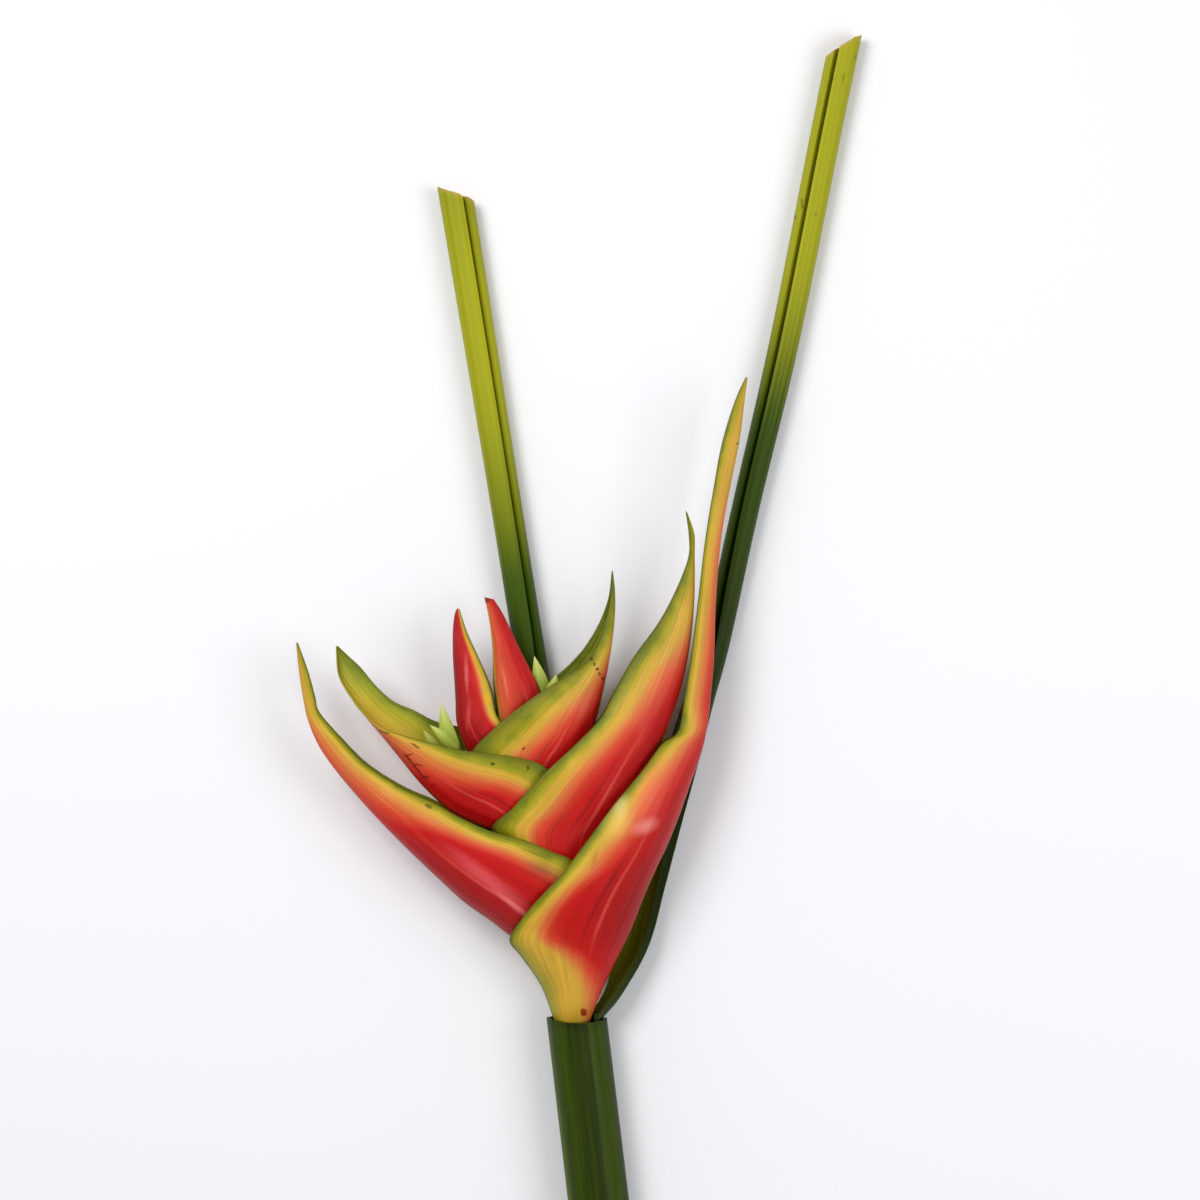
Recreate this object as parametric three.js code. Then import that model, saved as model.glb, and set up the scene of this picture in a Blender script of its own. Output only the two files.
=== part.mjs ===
// A cut heliconia flower lying on its back: a leaf sheath rolled round the flower stalk, two trimmed leaf stalks,
// seven boat-shaped bracts nested in one another on a zigzag axis, and the tips of the florets inside them.
// Millimetres, +Z up. While it is drawn, +X is right and +Y runs up the stem, the point (0, 0) is the centre of the
// sheath's cut rim, and z = 0 is the surface that it lies on. The last lines move its box's centre over the origin.
import * as THREE from "three";

// Driving dimensions.
const STEM_LENGTH = 140; // cut end to the sheath's rim
const STEM_LEAN = 0.12; // sideways run of the stem for each millimetre along it
const STEM_LEVEL = 12; // height of the stem's axis
const SHEATH = { radius: 11.9, wall: 1.4, spiral: 1.9, lap: 196 }; // the rolled outer sheath; lap is half its turn
const SHEATH_STEP = 0.6; // how much higher its rim is on the right
const HEAD_LEVEL = 25; // height of the plane that the bracts fold about
const NECK_LEVEL = 13; // the same plane's height at the sheath's rim
const NECK_LENGTH = 60; // the run over which it rises
const BRACT_WALL = 1.2;
const KEEL_POWER = 2.2; // how late a cheek turns down to the keel
const KEEL_ROUND = 0.56; // below 1 rounds the keel, and 0.5 would make it a full round
const OPEN_LIP = 3; // how sharply a cheek turns in to its rim where the bract is open
const SHUT_LIP = 6; // and where its two rims meet
const BRACT_STEPS = 12; // facets round a bract from rim to rim
const FLORET_FLATNESS = 0.6; // a floret's thickness as a share of its width

const stemCentre = (y) => -STEM_LEAN * y;
const headLevel = (y) => NECK_LEVEL
  + (HEAD_LEVEL - NECK_LEVEL) * Math.sin((Math.PI / 2) * THREE.MathUtils.clamp(y / NECK_LENGTH, 0, 1));

// A smooth run through [x, y, z] points, evenly spread over its points.
const run = (points) => new THREE.CatmullRomCurve3(points.map((p) => new THREE.Vector3(...p)), false, "catmullrom");

// A closed skin over rings of equal length. A ring's point j faces its point n - 1 - j, so both ends close as strips.
function skin(rings) {
  const n = rings[0].length;
  const index = [];
  const quad = (a, b, c, d) => index.push(a, b, c, a, c, d);
  for (let i = 0; i + 1 < rings.length; i++)
    for (let j = 0; j < n; j++) {
      const next = (j + 1) % n;
      quad(i * n + j, i * n + next, (i + 1) * n + next, (i + 1) * n + j);
    }
  const last = (rings.length - 1) * n;
  for (let j = 0; j + 1 < n / 2; j++) {
    quad(n - 1 - j, n - 2 - j, j + 1, j);
    quad(last + j, last + j + 1, last + n - 2 - j, last + n - 1 - j);
  }
  const places = rings.flat();
  let volume = 0;
  for (let k = 0; k < index.length; k += 3) {
    const [a, b, c] = [places[index[k]], places[index[k + 1]], places[index[k + 2]]];
    volume += a.dot(b.clone().cross(c));
  }
  if (volume < 0) index.reverse();
  const geometry = new THREE.BufferGeometry().setFromPoints(places);
  geometry.setIndex(index);
  geometry.computeVertexNormals();
  return geometry;
}

const finish = (color, roughness) => new THREE.MeshStandardMaterial({ color, roughness, metalness: 0 });
const bractSkin = finish(0xc2261f, 0.42);
const budSkin = finish(0xb01d22, 0.38);
const stalkSkin = finish(0x5f7d1c, 0.5);
const sheathSkin = finish(0x35500f, 0.5);
const axisFlesh = finish(0xc9bf62, 0.6);
const floretSkin = finish(0xb9cf6c, 0.45);

const flower = new THREE.Group();
function add(name, geometry, material) {
  const mesh = new THREE.Mesh(geometry, material);
  mesh.name = name;
  flower.add(mesh);
}

// Half a bract's width in section: s is 0 at the rim and 1 at the keel.
function cheek(s, belly, lip) {
  const rounded = Math.pow(Math.max(0, 1 - Math.pow(s, KEEL_POWER)), KEEL_ROUND);
  const sharpness = THREE.MathUtils.lerp(SHUT_LIP, OPEN_LIP, Math.min(1, (2 * lip) / belly));
  return belly * rounded - (belly - lip) * Math.pow(1 - s, sharpness);
}

// A bract is a folded sheet. Each rib crosses it from the front rim round the keel to the back rim:
// [keel x, y, front rim x, y, belly, lip], where belly and lip are how far the cheek and its rim stand off the fold's
// plane. A rib may end with the back rim's own x, y and lip. rise lifts the tip off that plane.
function bract(name, { ribs, rows, rise = 0, wall = BRACT_WALL, material = bractSkin }) {
  const keel = run(ribs.map((r) => [r[0], r[1], r[4]]));
  const front = run(ribs.map((r) => [r[2], r[3], r[5]]));
  const back = run(ribs.map((r) => [r[6] ?? r[2], r[7] ?? r[3], r[8] ?? r[5]]));
  const at = (u, v) => {
    const [k, rim] = [keel.getPoint(u), (v < 0 ? front : back).getPoint(u)];
    const s = 1 - v * v;
    const place = new THREE.Vector3().lerpVectors(rim, k, s);
    const side = v < 0 ? 1 : -1;
    place.z = headLevel(place.y) + rise * u * u + side * cheek(s, k.z, rim.z);
    return place;
  };
  const rings = [];
  for (let i = 0; i <= rows; i++) {
    const u = i / rows;
    const k = keel.getPoint(u);
    const width = Math.hypot(k.x - front.getPoint(u).x, k.y - front.getPoint(u).y);
    const thick = Math.min(wall, 0.3 * k.z, 0.2 * width);
    const outer = [];
    const inner = [];
    for (let j = 0; j <= BRACT_STEPS; j++) {
      const v = (2 * j) / BRACT_STEPS - 1;
      const step = 0.02;
      const along = at(Math.min(1, u + step), v).sub(at(Math.max(0, u - step), v));
      const across = at(u, Math.min(1, v + step)).sub(at(u, Math.max(-1, v - step)));
      const inward = along.cross(across).normalize().multiplyScalar(ribs.turn * thick);
      outer.push(at(u, v));
      inner.push(at(u, v).add(inward));
    }
    rings.push([...outer, ...inner.reverse()]);
  }
  add(name, skin(rings), material);
}

// A bract on the right has its keel to the right of its rims, and one on the left has it to the left.
const onRight = (ribs) => Object.assign(ribs, { turn: 1 });
const onLeft = (ribs) => Object.assign(ribs, { turn: -1 });

bract("bract_1_lowest_right", {
  rows: 25,
  ribs: onRight([
    [4, -2, -8.6, -2, 6.3, 0.5],
    [9, 11.5, -14, 13.5, 9, 0.5],
    [14.5, 23.5, -21.5, 25, 11.5, 0.5],
    [20, 35, -26, 32, 13.5, 4.5],
    [25, 48, -22, 39.5, 14.8, 9.6],
    [29.5, 58.5, -15, 48.5, 15.3, 13.6],
    [34, 68, -5.7, 58.5, 15.3, 14],
    [39, 80.5, 4.2, 71.5, 14.6, 13.2],
    [42.6, 91, 14, 84.5, 13, 11.5],
    [45.6, 99, 23.6, 96, 10.5, 9],
    [47.8, 106.5, 32, 107, 7.5, 6],
    [49.4, 115, 38, 111, 5.4, 3.8],
    [50.5, 125, 40.3, 123, 4.2, 2.8],
    [51.7, 140, 43, 140, 3.5, 2.4],
    [52.4, 161, 45.6, 161, 3, 2.2],
    [54.3, 184, 48.3, 184, 2.6, 2],
    [58, 205, 51.7, 205, 2.4, 1.8],
    [61.2, 221, 54.7, 221, 2.2, 1.6],
    [63, 235, 59.3, 236, 1.6, 1],
    [64.3, 245.5, 63.4, 245.3, 0.8, 0.5],
  ]),
  rise: 4,
});
bract("bract_2_lowest_left", {
  rows: 19,
  ribs: onLeft([
    [-11.5, 23, 1.3, 29.5, 5.8, 0.5],
    [-18.5, 28.5, 5.2, 45, 9, 3.6],
    [-25.2, 32.7, 0, 61, 12, 8.5],
    [-33.4, 39.2, -10, 66.5, 12.8, 10.8],
    [-42.9, 46, -20.5, 70.8, 12.6, 10.4],
    [-53.3, 55.6, -32.5, 74, 12, 9.6],
    [-64.8, 66.6, -44, 79, 11, 8.6],
    [-75, 77, -55, 85, 9.5, 7.5],
    [-84.5, 87.5, -67, 90.5, 7.5, 5.8],
    [-92.7, 97.5, -79.8, 98.8, 5.6, 4.2],
    [-98.4, 106, -89.8, 108.8, 3.8, 2.8],
    [-102.2, 115, -98, 118.5, 2.2, 1.4],
    [-104, 123, -99.6, 124.4, 1.8, 1.2],
    [-105.7, 134, -102.2, 134, 1.4, 0.9],
    [-106.8, 145, -106, 144.8, 0.8, 0.5],
  ]),
  rise: 3,
});
bract("bract_3_middle_right", {
  rows: 19,
  ribs: onRight([
    [0.8, 45, -11.5, 50, 5.2, 0.5],
    [8.7, 58, -23.5, 65.5, 8.4, 0.5],
    [16, 70.8, -32.3, 74.5, 10.4, 4.2],
    [21.4, 82, -24.4, 82.8, 11.6, 8.2],
    [26, 92.6, -13.3, 95, 12, 10.4],
    [30, 103, -2, 105.6, 11.8, 10.2],
    [34.2, 113.3, 8.4, 116.3, 11.2, 9.4],
    [38, 124, 13.7, 126.2, 10, 8.2],
    [41, 135.6, 21.3, 139.5, 8, 6.4],
    [43, 147.5, 29.3, 150.5, 6, 4.6],
    [44.1, 159, 34.2, 158.8, 4.4, 3.2],
    [44.4, 170, 38.8, 168.6, 2.8, 1.9],
    [44.3, 178, 42, 178, 1.6, 1],
    [44.2, 186, 42, 186, 1.4, 0.9],
    [41.6, 194, 40.8, 194.8, 0.8, 0.5],
  ]),
  rise: 3,
});
bract("bract_4_middle_left", {
  rows: 18,
  ribs: onLeft([
    [-21.8, 68.2, -11.6, 73, 4.4, 0.5],
    [-27.5, 71.6, -6, 80, 6, 0.5],
    [-33.5, 74.2, -4.5, 88, 7.4, 4],
    [-41, 77, -13, 98.5, 9, 8, -14.4, 102, 8],
    [-48.6, 81, -25, 102.2, 9.9, 9.2, -26.6, 108, 9.2],
    [-55.5, 87, -36.5, 103.5, 10, 9.2, -36.5, 111, 8.6],
    [-61.6, 93.5, -46.7, 105, 9.8, 8.8, -46.4, 113, 7.6],
    [-67.3, 100.6, -56.2, 107.5, 9, 7.8, -54.7, 115, 6.8],
    [-72.6, 107.2, -65, 109.8, 7.8, 6.8, -62.4, 119, 6],
    [-78, 113.6, -73, 112.2, 6.4, 5.6, -70, 122.4, 5.2],
    [-83.6, 120.6, -80.5, 118.6, 5, 4.2, -76.4, 128, 4.2],
    [-88.2, 127, -86, 125.8, 3.6, 3, -82.5, 135.4, 3],
    [-91.1, 133.4, -90, 133, 2.2, 1.6, -87, 139.8, 1.6],
    [-91.8, 143.4, -91.2, 143.3, 0.8, 0.5, -91.1, 143.8, 0.5],
  ]),
  rise: 2,
});
bract("bract_5_upper_right", {
  rows: 16,
  ribs: onRight([
    [-13.5, 80.3, -25.6, 86.4, 3.9, 0.5],
    [-7, 88.5, -37.5, 93, 6, 2.6],
    [-0.4, 97, -41, 102, 7.8, 5],
    [3.5, 104.5, -31.2, 113, 8.8, 7.4],
    [6.5, 114, -22, 120.5, 9.2, 8, -22, 121.6, 7.6],
    [8.8, 123, -12.5, 127.4, 8.6, 7.4, -13.3, 129, 6.8],
    [11, 133, -3.8, 132.6, 7.4, 6.2, -5.7, 134.4, 5.6],
    [12.6, 142, 3.4, 138, 5.6, 4.6, 0.8, 141, 4.2],
    [13.7, 150.4, 7.6, 144.6, 3.8, 3, 5.3, 147.4, 2.8],
    [14.2, 158, 10.6, 153, 2.4, 1.8, 9, 154.5, 1.7],
    [14.1, 165, 12.3, 162, 1.5, 1, 11.7, 162.5, 1],
    [13.3, 172.2, 12.8, 171.8, 0.8, 0.5],
  ]),
  rise: 2,
});
bract("bract_6_bud_left", {
  rows: 12,
  ribs: onLeft([
    [-30.8, 91.4, -21.6, 95.2, 3.2, 0.5],
    [-37, 97.5, -17.2, 103, 5, 3.2],
    [-42.6, 105, -24, 110, 5.7, 4.8],
    [-46, 114.4, -30.4, 117, 6.4, 5],
    [-46.5, 123, -32.4, 125.6, 6.4, 4.6],
    [-47, 131.5, -34.6, 132, 5.8, 3.6],
    [-47.5, 140.2, -38, 139.8, 4.8, 2.6],
    [-47.5, 149, -41.8, 148.2, 3.2, 1.5],
    [-46.9, 155, -43.9, 154.4, 1.7, 0.9],
    [-46, 157.8, -44.9, 157.8, 0.9, 0.5],
  ]),
  wall: 1,
  rise: 1,
  material: budSkin,
});
bract("bract_7_bud_right", {
  rows: 11,
  ribs: onRight([
    [-21, 99, -29, 102, 2.8, 0.5],
    [-15.4, 109, -30, 110.5, 3.7, 0.5],
    [-13, 118.6, -31, 118.6, 5.4, 0.6],
    [-14.8, 127.4, -32, 127, 5.2, 0.6],
    [-18.6, 135.7, -32.3, 135, 4.8, 0.8],
    [-22.4, 143.3, -32.5, 143, 4.2, 1],
    [-25.8, 150.5, -33.2, 150, 3.2, 1],
    [-28.9, 156.6, -34.2, 156.2, 2.2, 0.9],
    [-32, 161.4, -35.6, 162.2, 0.9, 0.5],
  ]),
  wall: 1,
  rise: -2,
  material: budSkin,
});

// A leaf stalk is a channel: a sheath round the flower stalk at its foot, and nearly solid with a shut groove higher up.
// Each station is [x, y, under, half width, half height, wall, from, to]: under is the height of its underside, and
// from and to are the degrees that it covers, counted from straight down. slant is how far the right side of its cut
// end stands past the middle.
function channel(stations, rows, steps, slant) {
  const first = run(stations.map((s) => [s[0], s[1], s[2]]));
  const second = run(stations.map((s) => [s[3], s[4], s[5]]));
  const third = run(stations.map((s) => [s[6], s[7], 0]));
  const rings = [];
  for (let i = 0; i <= rows; i++) {
    const u = i / rows;
    const place = first.getPoint(u);
    const size = second.getPoint(u);
    const sweep = third.getPoint(u);
    const along = first.getTangent(u).setZ(0).normalize();
    const side = new THREE.Vector3(along.y, -along.x, 0);
    const cut = slant * THREE.MathUtils.smoothstep(u, 0.9, 1);
    const outer = [];
    const inner = [];
    for (let j = 0; j <= steps; j++) {
      const angle = THREE.MathUtils.degToRad(THREE.MathUtils.lerp(sweep.x, sweep.y, j / steps));
      const at = (shrink) => place.clone()
        .addScaledVector(side, Math.max(size.x - shrink, 0.8) * Math.sin(angle))
        .addScaledVector(along, cut * Math.sin(angle) * Math.max(size.x - shrink, 0.8) / size.x)
        .add(new THREE.Vector3(0, 0, size.y - Math.max(size.y - shrink, 0.8) * Math.cos(angle)));
      outer.push(at(0));
      inner.push(at(size.z));
    }
    rings.push([...outer, ...inner.reverse()]);
  }
  return skin(rings);
}

const END = -STEM_LENGTH;
add("leaf_stalk_left", channel([
  [stemCentre(END), END, 4.3, 7.7, 7.7, 1.4, -150, 150],
  [stemCentre(-90), -90, 4.3, 7.7, 7.7, 1.4, -150, 150],
  [stemCentre(-45), -45, 4.3, 7.7, 7.7, 1.4, -145, 135],
  [stemCentre(-22) - 0.3, -22, 4.1, 7.6, 7.4, 1.4, -120, 80],
  [stemCentre(-6) - 0.9, -6, 3.3, 7.4, 6.8, 1.7, -80, 42],
  [-1.6, 8, 2.4, 7, 6.2, 2.4, -68, 48],
  [-2.2, 22, 1.5, 6.8, 5.9, 3.4, -82, 80],
  [-3.2, 40, 0.9, 6.7, 6.4, 4.4, -98, 98],
  [-6, 68, 0.7, 6.6, 6.6, 5.2, -112, 110],
  [-11.4, 100, 0.6, 6.4, 6.5, 5.2, -150, 128],
  [-17.8, 136, 0.5, 6, 6.4, 5, -195, 142],
  [-28.4, 202, 0.4, 6, 6.2, 4.8, -203, 145],
  [-40.2, 275, 0.2, 6.4, 6, 4.8, -203, 145],
  [-47.2, 317.4, 0, 6.6, 6, 4.8, -203, 145],
], 30, 14, -3.8), stalkSkin);
add("leaf_stalk_right", channel([
  [stemCentre(END), END, 2.4, 9.6, 9.6, 1.4, -150, 125],
  [stemCentre(-100), -100, 2.4, 9.6, 9.6, 1.4, -145, 125],
  [stemCentre(-80), -80, 2.4, 9.6, 9.6, 1.4, -115, 125],
  [stemCentre(-60), -60, 2.4, 9.6, 9.6, 1.4, -75, 124],
  [stemCentre(-44), -44, 2.4, 9.5, 9.5, 1.4, -35, 122],
  [stemCentre(-28), -28, 2.5, 9.4, 9.4, 1.4, 5, 120],
  [stemCentre(-12), -12, 2.6, 9.2, 9.3, 1.4, 40, 118],
  [-0.7, 3.4, 2.6, 9.1, 9.3, 1.4, 44, 116],
  [3.3, 9.4, 1.9, 10.4, 10.2, 1.8, 38, 112],
  [8.2, 17, 1.2, 11.2, 10.5, 2, 24, 108],
  [17, 33, 0.9, 11.2, 9.6, 2.4, -25, 104],
  [24.4, 54, 0.7, 9.6, 8, 3.2, -80, 100],
  [32.4, 78, 0.6, 8, 7, 4.4, -100, 100],
  [39.9, 100, 0.5, 6.6, 6.6, 4.8, -112, 108],
  [46.7, 123, 0.5, 5.7, 6.2, 4.8, -128, 145],
  [53.3, 146, 0.4, 5.4, 6, 4.4, -140, 188],
  [64.8, 198, 0.4, 5.3, 5.8, 4.2, -144, 204],
  [79.3, 260, 0.3, 5.7, 5.6, 4.2, -144, 204],
  [95.5, 341, 0.1, 5.9, 5.6, 4.2, -144, 204],
  [102.4, 374.7, 0, 6, 5.6, 4.2, -144, 204],
], 38, 14, 5.6), stalkSkin);

// The outer sheath is one leaf base rolled a little more than once round, so its edge laps over itself in front.
// Its cut rim climbs on the right, where it holds the right leaf stalk.
function rolledSheath({ radius, wall, spiral, lap }, rows, steps) {
  const rings = [];
  for (let i = 0; i <= rows; i++) {
    const outer = [];
    const inner = [];
    for (let j = 0; j <= steps; j++) {
      const angle = THREE.MathUtils.degToRad(THREE.MathUtils.lerp(-lap, lap, j / steps));
      const across = Math.sin(angle);
      const rim = across > 0 ? SHEATH_STEP * Math.pow(across, 1.5) : -0.8 * across;
      const y = THREE.MathUtils.lerp(-STEM_LENGTH, rim, i / rows);
      const reach = radius - 0.3 * (i / rows) + spiral * (0.5 - j / steps);
      const at = (r) => new THREE.Vector3(stemCentre(y) + r * across, y, STEM_LEVEL - r * Math.cos(angle));
      outer.push(at(reach));
      inner.push(at(reach - wall));
    }
    rings.push([...outer, ...inner.reverse()]);
  }
  return skin(rings);
}
add("outer_sheath", rolledSheath(SHEATH, 6, 28), sheathSkin);

// The flower stalk and the zigzag axis that carries the bracts are one piece, drawn as rings round [x, y, radius].
function stalk(points, rows, sides, level) {
  const line = run(points);
  const rings = [];
  for (let i = 0; i <= rows; i++) {
    const p = line.getPoint(i / rows);
    const along = line.getTangent(i / rows);
    const side = new THREE.Vector3(along.y, -along.x, 0).normalize();
    const ring = [];
    for (let j = 0; j < sides; j++) {
      const angle = (2 * Math.PI * (j + 0.5)) / sides;
      ring.push(new THREE.Vector3(p.x, p.y, level(p.y))
        .addScaledVector(side, p.z * Math.cos(angle))
        .add(new THREE.Vector3(0, 0, p.z * Math.sin(angle))));
    }
    rings.push(ring);
  }
  return skin(rings);
}
const axisLevel = (y) => (y < 0 ? THREE.MathUtils.lerp(NECK_LEVEL, STEM_LEVEL, Math.min(1, -y / 30)) : headLevel(y));
add("flower_stalk_and_axis", stalk([
  [stemCentre(END), END, 5.7],
  [stemCentre(-70), -70, 5.7],
  [stemCentre(-24) - 0.4, -24, 4.9],
  [-2, -2, 3.7],
  [-4.9, 26, 3.4],
  [-5.3, 47.5, 3],
  [-16.9, 70.4, 2.4],
  [-19, 83, 1.9],
  [-26, 93.2, 1.4],
  [-25.2, 99.5, 1.2],
  [-25, 104, 0.8],
], 30, 12, axisLevel), axisFlesh);

// A floret's tip: a flat pointed bud between two points, [x, y, z], swelling to radius near its foot.
function floret(name, foot, tip, radius) {
  const [from, to] = [new THREE.Vector3(...foot), new THREE.Vector3(...tip)];
  const profile = new THREE.CatmullRomCurve3([
    new THREE.Vector2(0, 0),
    new THREE.Vector2(0.6, 0),
    new THREE.Vector2(0.9, 0.2),
    new THREE.Vector2(1, 0.45),
    new THREE.Vector2(0.62, 0.78),
    new THREE.Vector2(0, 1),
  ].map((p) => new THREE.Vector3(p.x * radius, p.y * from.distanceTo(to), 0)), false, "centripetal");
  const outline = profile.getPoints(10).map((p) => new THREE.Vector2(Math.max(0, p.x), p.y));
  outline[0].x = 0;
  outline[outline.length - 1].x = 0;
  const geometry = new THREE.LatheGeometry(outline, 8);
  const turn = new THREE.Quaternion().setFromUnitVectors(
    new THREE.Vector3(0, 1, 0),
    to.clone().sub(from).normalize(),
  );
  geometry.scale(1, 1, FLORET_FLATNESS).applyQuaternion(turn).translate(from.x, from.y, from.z);
  add(name, geometry, floretSkin);
}
floret("floret_left_long", [-45.6, 98, 25.6], [-51.9, 122, 26.4], 3.3);
floret("floret_left_middle", [-45, 103.4, 30.2], [-56, 113.8, 30], 2.1);
floret("floret_left_short", [-50.5, 98.5, 21.4], [-58.8, 111.6, 22.4], 2.3);
floret("floret_right_long", [-10.6, 118.4, 21.5], [-16.6, 139.8, 21.8], 3.2);
floret("floret_right_short", [-12, 119.5, 26.4], [-8.2, 132.9, 26], 3);

// Set the flower's box over the origin, with its lowest point at z = 0.
const box = new THREE.Box3().setFromObject(flower, true);
const middle = box.getCenter(new THREE.Vector3());
flower.position.set(-middle.x, -middle.y, -box.min.z);

export default flower;
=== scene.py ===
"""A cut heliconia flower lying on its back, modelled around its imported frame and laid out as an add-on."""

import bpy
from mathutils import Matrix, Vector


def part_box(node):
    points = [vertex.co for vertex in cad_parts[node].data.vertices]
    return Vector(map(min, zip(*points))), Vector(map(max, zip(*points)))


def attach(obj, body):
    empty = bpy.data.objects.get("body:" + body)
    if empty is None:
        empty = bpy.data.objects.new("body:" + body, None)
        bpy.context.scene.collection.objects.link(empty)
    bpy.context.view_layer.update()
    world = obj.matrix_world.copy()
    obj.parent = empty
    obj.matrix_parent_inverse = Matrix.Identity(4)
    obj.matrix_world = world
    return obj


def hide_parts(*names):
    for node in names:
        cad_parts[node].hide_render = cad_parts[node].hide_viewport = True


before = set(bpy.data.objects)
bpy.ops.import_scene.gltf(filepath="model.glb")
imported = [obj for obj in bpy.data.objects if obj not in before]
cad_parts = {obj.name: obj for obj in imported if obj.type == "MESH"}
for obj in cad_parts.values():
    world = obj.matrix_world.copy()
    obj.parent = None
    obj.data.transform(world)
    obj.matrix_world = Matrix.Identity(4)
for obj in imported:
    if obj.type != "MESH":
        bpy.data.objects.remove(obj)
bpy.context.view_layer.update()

from math import cos, exp, hypot, pi, radians, sin

import bpy
from bpy.props import FloatProperty, FloatVectorProperty, IntProperty, PointerProperty
from mathutils import Vector, noise

bl_info = {
    "name": "Heliconia Flower",
    "version": (1, 0, 0),
    "blender": (4, 5, 0),
    "location": "View3D > Sidebar > Heliconia",
    "description": "Builds a cut heliconia flower lying on its back, with its bracts, florets and leaf stalks",
    "category": "Add Mesh",
}

MM = 0.001
BODY = "root"
SENSOR_WIDTH = 36
# A mark stronger than STRONG_MARK is full out to MARK_EDGE of its size. A weaker one fades from its middle.
STRONG_MARK = 0.6
MARK_EDGE = 0.6

# The flower is drawn in millimetres from the centre of the sheath's cut rim, with +Y up the stem. Two of the
# frame's boxes say where that point is: the lowest left bract's tip is its leftmost point, and the sheath ends
# at the stem's.
STEM_LENGTH = 140.0
LEFT_TIP = -106.8
STEM_LEAN = 0.12
STEM_LEVEL = 12.0
HEAD_LEVEL = 25.0
NECK_LEVEL = 13.0
NECK_LENGTH = 60.0
HOME = Vector((
    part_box("bract_2_lowest_left")[0][0] - LEFT_TIP * MM,
    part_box("outer_sheath")[0][1] + STEM_LENGTH * MM,
    0.0,
))


def clamp(x, low=0.0, high=1.0):
    return max(low, min(high, x))


def mix(a, b, t):
    return a + (b - a) * t


def ease(low, high, x):
    t = clamp((x - low) / (high - low))
    return t * t * (3 - 2 * t)


def stem_centre(y):
    return -STEM_LEAN * y


def head_level(y):
    return NECK_LEVEL + (HEAD_LEVEL - NECK_LEVEL) * sin(pi / 2 * clamp(y / NECK_LENGTH))


def spline(points, t):
    """A smooth run through equal-length tuples of numbers, at t from 0 to 1."""
    spans = len(points) - 1
    place = clamp(t) * spans
    i = min(int(place), spans - 1)
    f = place - i
    b, c = points[i], points[i + 1]
    a = points[i - 1] if i else tuple(2 * m - n for m, n in zip(b, c))
    d = points[i + 2] if i + 2 <= spans else tuple(2 * n - m for m, n in zip(b, c))
    return tuple(
        q + f * ((r - p) / 2 + f * ((2 * p - 5 * q + 4 * r - s) / 2 + f * (3 * q - p - 3 * r + s) / 2))
        for p, q, r, s in zip(a, b, c, d)
    )


# Each rib crosses a bract from its front rim round the keel to its back rim:
# keel x, y, front rim x, y, belly, lip, and where it differs the back rim's x, y and lip.
# belly and lip are how far the cheek and its rim stand off the plane that the bract folds about.
BRACT_1 = (
    (4, -2, -8.6, -2, 6.3, 0.5),
    (9, 11.5, -14, 13.5, 9, 0.5),
    (14.5, 23.5, -21.5, 25, 11.5, 0.5),
    (20, 35, -26, 32, 13.5, 4.5),
    (25, 48, -22, 39.5, 14.8, 9.6),
    (29.5, 58.5, -15, 48.5, 15.3, 13.6),
    (34, 68, -5.7, 58.5, 15.3, 14),
    (39, 80.5, 4.2, 71.5, 14.6, 13.2),
    (42.6, 91, 14, 84.5, 13, 11.5),
    (45.6, 99, 23.6, 96, 10.5, 9),
    (47.8, 106.5, 32, 107, 7.5, 6),
    (49.4, 115, 38, 111, 5.4, 3.8),
    (50.5, 125, 40.3, 123, 4.2, 2.8),
    (51.7, 140, 43, 140, 3.5, 2.4),
    (52.4, 161, 45.6, 161, 3, 2.2),
    (54.3, 184, 48.3, 184, 2.6, 2),
    (58, 205, 51.7, 205, 2.4, 1.8),
    (61.2, 221, 54.7, 221, 2.2, 1.6),
    (63, 235, 59.3, 236, 1.6, 1),
    (64.3, 245.5, 63.4, 245.3, 0.8, 0.5),
)
BRACT_2 = (
    (-11.5, 23, 1.3, 29.5, 5.8, 0.5),
    (-18.5, 28.5, 5.2, 45, 9, 3.6),
    (-25.2, 32.7, 0, 61, 12, 8.5),
    (-33.4, 39.2, -10, 66.5, 12.8, 10.8),
    (-42.9, 46, -20.5, 70.8, 12.6, 10.4),
    (-53.3, 55.6, -32.5, 74, 12, 9.6),
    (-64.8, 66.6, -44, 79, 11, 8.6),
    (-75, 77, -55, 85, 9.5, 7.5),
    (-84.5, 87.5, -67, 90.5, 7.5, 5.8),
    (-92.7, 97.5, -79.8, 98.8, 5.6, 4.2),
    (-98.4, 106, -89.8, 108.8, 3.8, 2.8),
    (-102.2, 115, -98, 118.5, 2.2, 1.4),
    (-104, 123, -99.6, 124.4, 1.8, 1.2),
    (-105.7, 134, -102.2, 134, 1.4, 0.9),
    (-106.8, 145, -106, 144.8, 0.8, 0.5),
)
BRACT_3 = (
    (0.8, 45, -11.5, 50, 5.2, 0.5),
    (8.7, 58, -23.5, 65.5, 8.4, 0.5),
    (16, 70.8, -32.3, 74.5, 10.4, 4.2),
    (21.4, 82, -24.4, 82.8, 11.6, 8.2),
    (26, 92.6, -13.3, 95, 12, 10.4),
    (30, 103, -2, 105.6, 11.8, 10.2),
    (34.2, 113.3, 8.4, 116.3, 11.2, 9.4),
    (38, 124, 13.7, 126.2, 10, 8.2),
    (41, 135.6, 21.3, 139.5, 8, 6.4),
    (43, 147.5, 29.3, 150.5, 6, 4.6),
    (44.1, 159, 34.2, 158.8, 4.4, 3.2),
    (44.4, 170, 38.8, 168.6, 2.8, 1.9),
    (44.3, 178, 42, 178, 1.6, 1),
    (44.2, 186, 42, 186, 1.4, 0.9),
    (41.6, 194, 40.8, 194.8, 0.8, 0.5),
)
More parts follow.
